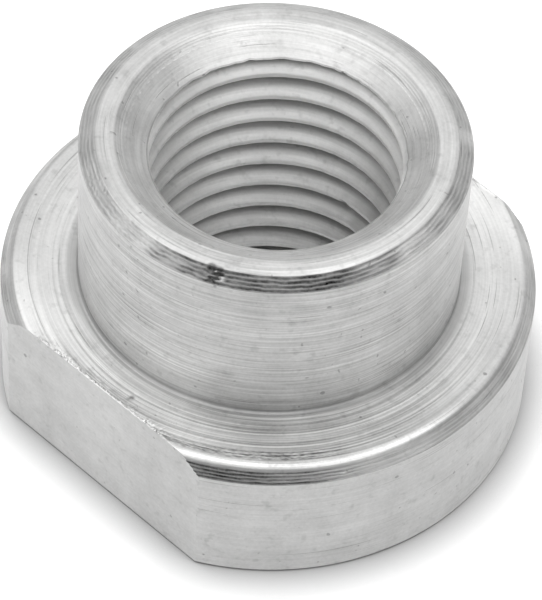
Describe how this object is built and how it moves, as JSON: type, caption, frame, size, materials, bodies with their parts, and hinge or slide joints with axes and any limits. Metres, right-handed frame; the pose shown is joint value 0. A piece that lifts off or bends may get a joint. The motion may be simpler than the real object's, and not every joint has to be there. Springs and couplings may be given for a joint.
{
  "type": "flanged shaft nut",
  "caption": "One-piece turned shaft nut: a round flange with two spanner flats, a plain barrel above it and a fine thread right through.",
  "frame": {"origin": "centre of the flange's underside, on the axis of the threaded hole", "axes": "+Z along the hole from the flange's underside to the barrel's free end, Y square to the two spanner flats, X along them"},
  "size_m": [0.0178, 0.0154, 0.0113],
  "materials": {
    "turned_steel": "turned steel with a thin bright zinc plating, satin"
  },
  "bodies": {
    "root": {"shaft_nut": "turned_steel"}
  },
  "joints": []
}
